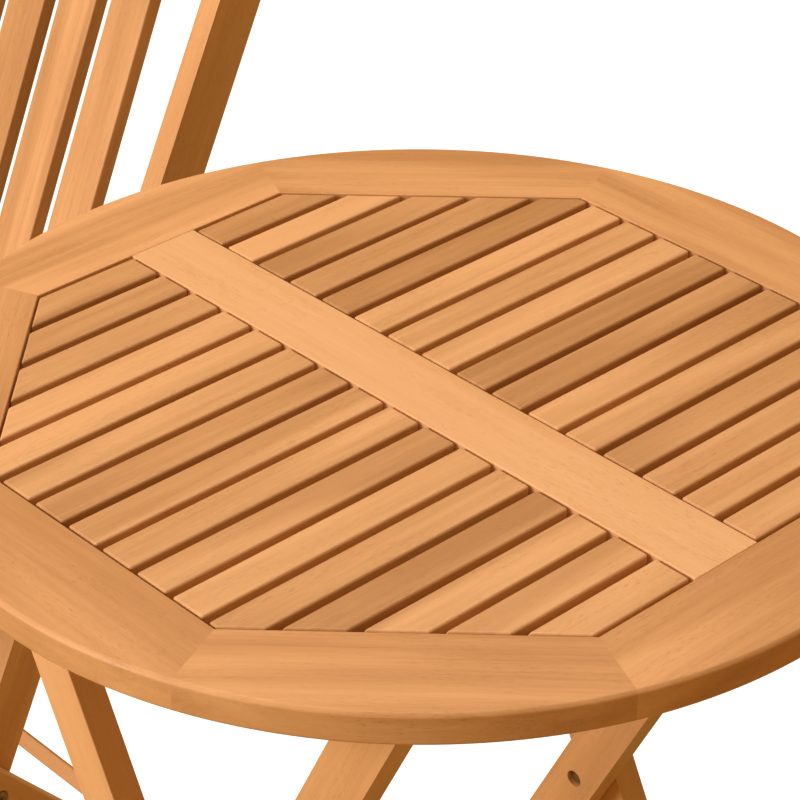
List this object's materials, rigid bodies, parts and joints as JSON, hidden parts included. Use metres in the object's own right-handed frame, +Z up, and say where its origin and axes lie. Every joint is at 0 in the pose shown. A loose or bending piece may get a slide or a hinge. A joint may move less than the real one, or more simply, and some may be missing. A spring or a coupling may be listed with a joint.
{
  "type": "patio dining set",
  "caption": "Folding garden dining set: a round slatted bistro table on crossed legs with a folding slatted chair on either side.",
  "frame": {"origin": "on the floor, under the centre of the round table top", "axes": "+Z up, +Y along the table top's centre rail towards chair a, +X along the table slats, towards the chairs' backs; both chairs face -X"},
  "size_m": [0.6, 1.62, 0.8364],
  "materials": {
    "oiled_wood_frame": "oiled, satin",
    "oiled_wood_slats": "oiled, satin",
    "bronzed_steel": "bronzed"
  },
  "bodies": {
    "outer_leg_frame": {"outer_leg_left": "oiled_wood_frame", "outer_leg_right": "oiled_wood_frame", "outer_stretcher": "oiled_wood_frame", "leg_cross_bolts": "bronzed_steel"},
    "table_top": {"rim_segment_1": "oiled_wood_frame", "rim_segment_2": "oiled_wood_frame", "rim_segment_3": "oiled_wood_frame", "rim_segment_4": "oiled_wood_frame", "rim_segment_5": "oiled_wood_frame", "rim_segment_6": "oiled_wood_frame", "rim_segment_7": "oiled_wood_frame", "rim_segment_8": "oiled_wood_frame", "centre_rail": "oiled_wood_slats", "top_slats_left": "oiled_wood_slats", "top_slats_right": "oiled_wood_slats", "rail_batten": "oiled_wood_frame", "mid_batten_left": "oiled_wood_frame", "mid_batten_right": "oiled_wood_frame", "side_batten_left": "oiled_wood_frame", "side_batten_right": "oiled_wood_frame", "rest_stops": "oiled_wood_frame", "top_pivot_bolts": "bronzed_steel"},
    "inner_leg_frame": {"inner_leg_left": "oiled_wood_frame", "inner_leg_right": "oiled_wood_frame", "inner_stretcher": "oiled_wood_frame", "inner_top_bar": "oiled_wood_frame"},
    "chair_a_frame": {"chair_a_upright_left": "oiled_wood_frame", "chair_a_upright_right": "oiled_wood_frame", "chair_a_top_rail": "oiled_wood_frame", "chair_a_low_back_rail": "oiled_wood_frame", "chair_a_back_slats": "oiled_wood_slats", "chair_a_front_stretcher": "oiled_wood_frame", "chair_a_cross_bolts": "bronzed_steel"},
    "chair_a_rear_legs": {"chair_a_rear_leg_left": "oiled_wood_frame", "chair_a_rear_leg_right": "oiled_wood_frame", "chair_a_rear_stretcher": "oiled_wood_frame", "chair_a_seat_axle": "bronzed_steel"},
    "chair_a_seat": {"chair_a_seat_rail_left": "oiled_wood_frame", "chair_a_seat_rail_right": "oiled_wood_frame", "chair_a_seat_slats": "oiled_wood_slats", "chair_a_slide_pins": "bronzed_steel"},
    "chair_b_frame": {"chair_b_upright_left": "oiled_wood_frame", "chair_b_upright_right": "oiled_wood_frame", "chair_b_top_rail": "oiled_wood_frame", "chair_b_low_back_rail": "oiled_wood_frame", "chair_b_back_slats": "oiled_wood_slats", "chair_b_front_stretcher": "oiled_wood_frame", "chair_b_cross_bolts": "bronzed_steel"},
    "chair_b_rear_legs": {"chair_b_rear_leg_left": "oiled_wood_frame", "chair_b_rear_leg_right": "oiled_wood_frame", "chair_b_rear_stretcher": "oiled_wood_frame", "chair_b_seat_axle": "bronzed_steel"},
    "chair_b_seat": {"chair_b_seat_rail_left": "oiled_wood_frame", "chair_b_seat_rail_right": "oiled_wood_frame", "chair_b_seat_slats": "oiled_wood_slats", "chair_b_slide_pins": "bronzed_steel"}
  },
  "joints": [
    {"name": "top_tilt", "type": "hinge", "parent": "outer_leg_frame", "child": "table_top", "pos_m": [0, 0.1705, 0.698], "axis": [-1, 0, 0], "range_deg": [0, 108]},
    {"name": "leg_fold", "type": "hinge", "parent": "outer_leg_frame", "child": "inner_leg_frame", "pos_m": [0, 0.0065, 0.3615], "axis": [-1, 0, 0], "range_deg": [0, 47]},
    {"name": "chair_a_pull_out", "type": "slide", "parent": "outer_leg_frame", "child": "chair_a_frame", "axis": [0, 1, 0], "range_m": [0, 0.3]},
    {"name": "chair_a_fold", "type": "hinge", "parent": "chair_a_frame", "child": "chair_a_rear_legs", "pos_m": [-0.05422, 0.602, 0.222], "axis": [0, 1, 0], "range_deg": [0, 58]},
    {"name": "chair_a_seat_turn", "type": "hinge", "parent": "chair_a_rear_legs", "child": "chair_a_seat", "pos_m": [-0.23932, 0.602, 0.43872], "axis": [0, 1, 0], "range_deg": [-116, 0]},
    {"name": "chair_b_pull_out", "type": "slide", "parent": "outer_leg_frame", "child": "chair_b_frame", "axis": [0, -1, 0], "range_m": [0, 0.3]},
    {"name": "chair_b_fold", "type": "hinge", "parent": "chair_b_frame", "child": "chair_b_rear_legs", "pos_m": [-0.05422, -0.602, 0.222], "axis": [0, 1, 0], "range_deg": [0, 58]},
    {"name": "chair_b_seat_turn", "type": "hinge", "parent": "chair_b_rear_legs", "child": "chair_b_seat", "pos_m": [-0.23932, -0.602, 0.43872], "axis": [0, 1, 0], "range_deg": [-116, 0]}
  ],
  "couplings": [
    {"joint": "leg_fold", "follows": "top_tilt", "ratio": 0.43},
    {"joint": "chair_a_seat_turn", "follows": "chair_a_fold", "ratio": -2},
    {"joint": "chair_b_seat_turn", "follows": "chair_b_fold", "ratio": -2}
  ]
}
